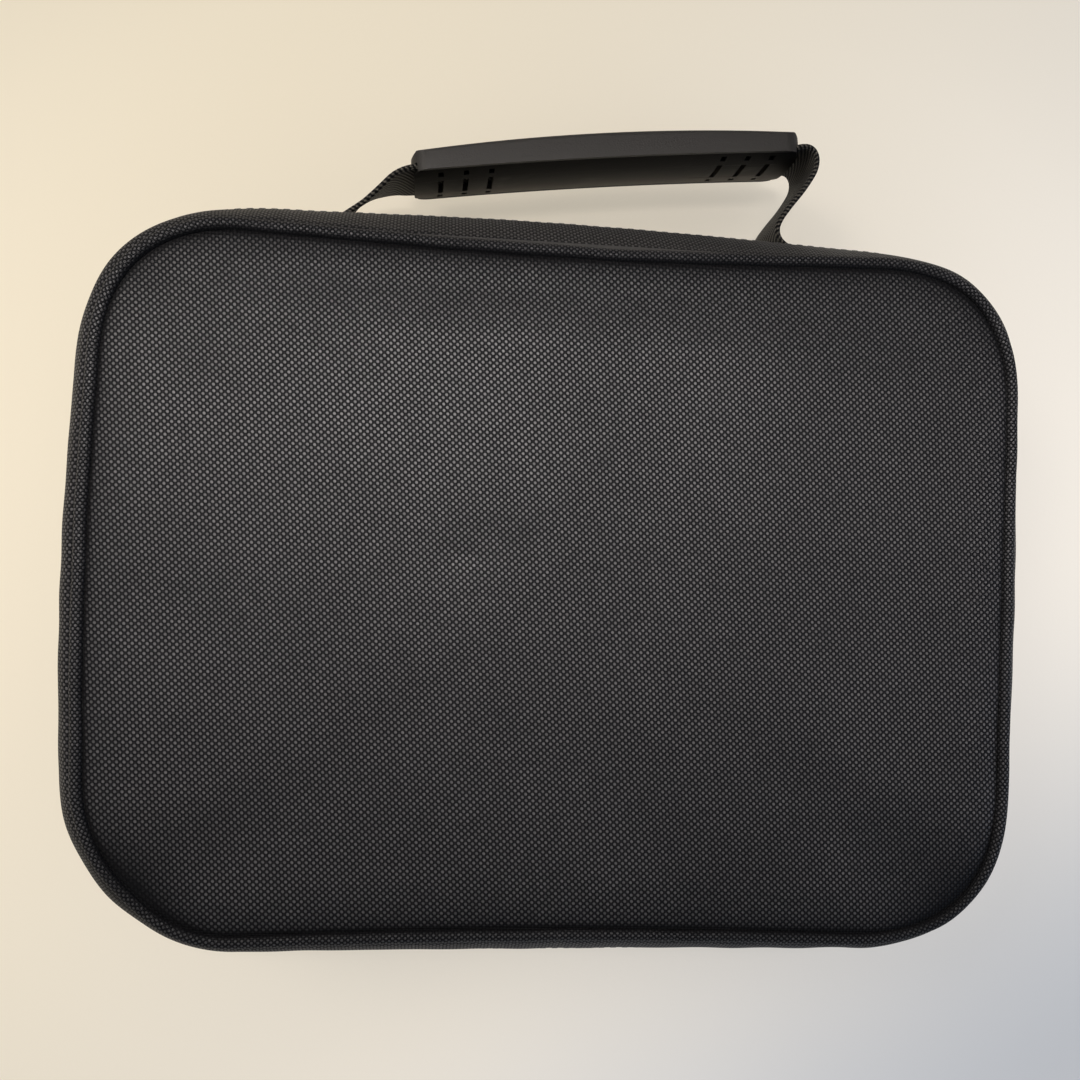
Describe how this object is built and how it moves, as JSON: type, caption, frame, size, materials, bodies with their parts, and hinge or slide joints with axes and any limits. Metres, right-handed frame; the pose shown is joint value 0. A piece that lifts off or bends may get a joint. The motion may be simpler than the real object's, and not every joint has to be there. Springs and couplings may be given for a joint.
{
  "type": "jump starter pack",
  "caption": "Black zipped soft case for a car jump starter, with piped edges, hinged lid, netting pocket, foam tray, booster unit and moulded carry grip.",
  "frame": {"origin": "centre of the flat of the back panel, which the case lies on", "axes": "+X across the case, +Y from the hinge towards the handle, +Z out of the front face"},
  "size_m": [0.2672, 0.2413, 0.075],
  "materials": {
    "shell_fabric": "matte",
    "piping_fabric": "matte",
    "lining_fabric": "matte",
    "netting": "matte",
    "elastic": "matte",
    "binding_tape": "matte",
    "board": "matte",
    "zip_tape": "matte",
    "zip_teeth": "satin",
    "zip_metal": "satin",
    "pull_rubber": "matte",
    "webbing": "matte",
    "grip_plastic": "satin",
    "foam": "matte",
    "booster_plastic": "satin",
    "bumper_rubber": "matte",
    "cell_foil": "satin",
    "board_green": "satin",
    "socket_blue": "satin",
    "port_metal": "satin",
    "reflector": "polished",
    "lens": "gloss",
    "light_pipe": "gloss",
    "screw_steel": "satin",
    "button_red": "satin"
  },
  "bodies": {
    "base": {"base_back_panel": "shell_fabric", "base_stiffener_board": "board", "base_wall": "shell_fabric", "base_piping": "piping_fabric", "base_seam_binding": "binding_tape", "base_lining": "lining_fabric", "base_zip_tape": "zip_tape", "base_zip_teeth": "zip_teeth", "hinge_panel_lower": "shell_fabric", "zip_end_tabs": "binding_tape", "webbing_patch_left": "webbing", "webbing_patch_right": "webbing", "foam_tray": "foam", "booster_shell_bottom": "booster_plastic", "booster_shell_top": "booster_plastic", "booster_bumper_left": "bumper_rubber", "booster_bumper_right": "bumper_rubber", "booster_cells": "cell_foil", "booster_circuit_board": "board_green", "booster_socket": "socket_blue", "booster_usb_ports": "port_metal", "booster_torch_reflector": "reflector", "booster_torch_lens": "lens", "booster_charge_lights": "light_pipe", "booster_screws": "screw_steel"},
    "lid": {"lid_face_panel": "shell_fabric", "lid_stiffener_board": "board", "lid_wall": "shell_fabric", "lid_piping": "piping_fabric", "lid_seam_binding": "binding_tape", "lid_lining": "lining_fabric", "lid_zip_tape": "zip_tape", "lid_zip_teeth": "zip_teeth", "lid_mesh_pocket": "netting", "mesh_pocket_elastic": "elastic", "hinge_panel_upper": "shell_fabric"},
    "handle": {"handle_webbing": "webbing", "grip_cap": "grip_plastic", "grip_palm": "grip_plastic"},
    "upper_slider": {"zip_slider_upper": "zip_metal"},
    "lower_slider": {"zip_slider_lower": "zip_metal"},
    "upper_pull": {"zip_pull_upper": "pull_rubber"},
    "lower_pull": {"zip_pull_lower": "pull_rubber"},
    "power_button": {"booster_power_button": "button_red"},
    "port_cover": {"booster_port_cover": "bumper_rubber"}
  },
  "joints": [
    {"name": "lid_hinge", "type": "hinge", "parent": "base", "child": "lid", "pos_m": [0, -0.1023, 0.05], "axis": [1, 0, 0], "range_deg": [0, 180]},
    {"name": "handle_swing", "type": "hinge", "parent": "base", "child": "handle", "pos_m": [0, 0.1041, 0.026], "axis": [1, 0, 0], "range_deg": [-35, 35]},
    {"name": "upper_slider_travel", "type": "slide", "parent": "base", "child": "upper_slider", "axis": [0, 1, 0], "range_m": [0, 0.04]},
    {"name": "lower_slider_travel", "type": "slide", "parent": "base", "child": "lower_slider", "axis": [0, -1, 0], "range_m": [0, 0.04]},
    {"name": "upper_pull_turn", "type": "hinge", "parent": "upper_slider", "child": "upper_pull", "pos_m": [0.1334, 0.0059, 0.05], "axis": [0, 0, -1], "range_deg": [0, 120]},
    {"name": "lower_pull_turn", "type": "hinge", "parent": "lower_slider", "child": "lower_pull", "pos_m": [0.1334, -0.0059, 0.05], "axis": [0, 0, 1], "range_deg": [0, 120]},
    {"name": "power_button_press", "type": "slide", "parent": "base", "child": "power_button", "axis": [0, 0, -1], "range_m": [0, 0.001], "stiffness_N_per_m": 400},
    {"name": "port_cover_swing", "type": "hinge", "parent": "base", "child": "port_cover", "pos_m": [0.0651, -0.0245, 0.0324], "axis": [0, -1, 0], "range_deg": [0, 110]}
  ]
}
